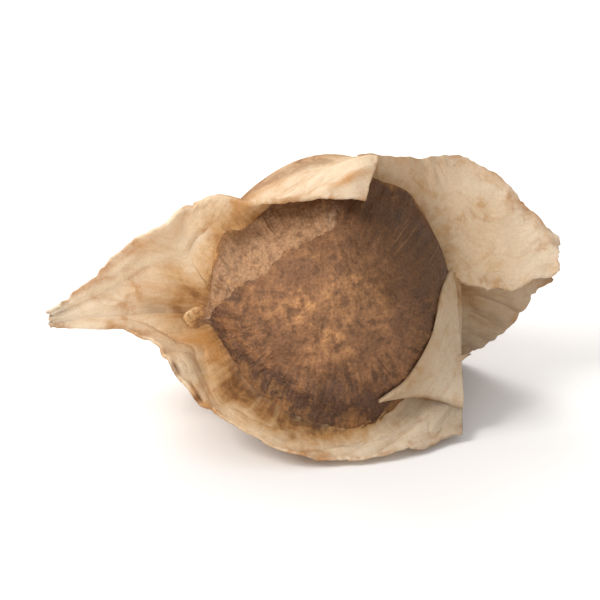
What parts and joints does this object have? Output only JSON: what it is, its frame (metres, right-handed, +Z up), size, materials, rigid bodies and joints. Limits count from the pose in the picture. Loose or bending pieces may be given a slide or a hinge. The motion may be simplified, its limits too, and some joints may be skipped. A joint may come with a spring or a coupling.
{
  "type": "moringa seed",
  "caption": "Dried moringa seed with a rounded brown body and pale papery wings along its ridges, lying on a surface.",
  "frame": {"origin": "on the surface the seed lies on, under the middle of its bounding box", "axes": "+X along the seed from its left tail to its right one, +Y away from the viewer, +Z up"},
  "size_m": [0.0216, 0.013, 0.0117],
  "materials": {
    "seed_coat": "matt, fibrous brown seed coat that fades through orange tan into pale cream papery wings"
  },
  "bodies": {
    "root": {"moringa_seed": "seed_coat"}
  },
  "joints": []
}
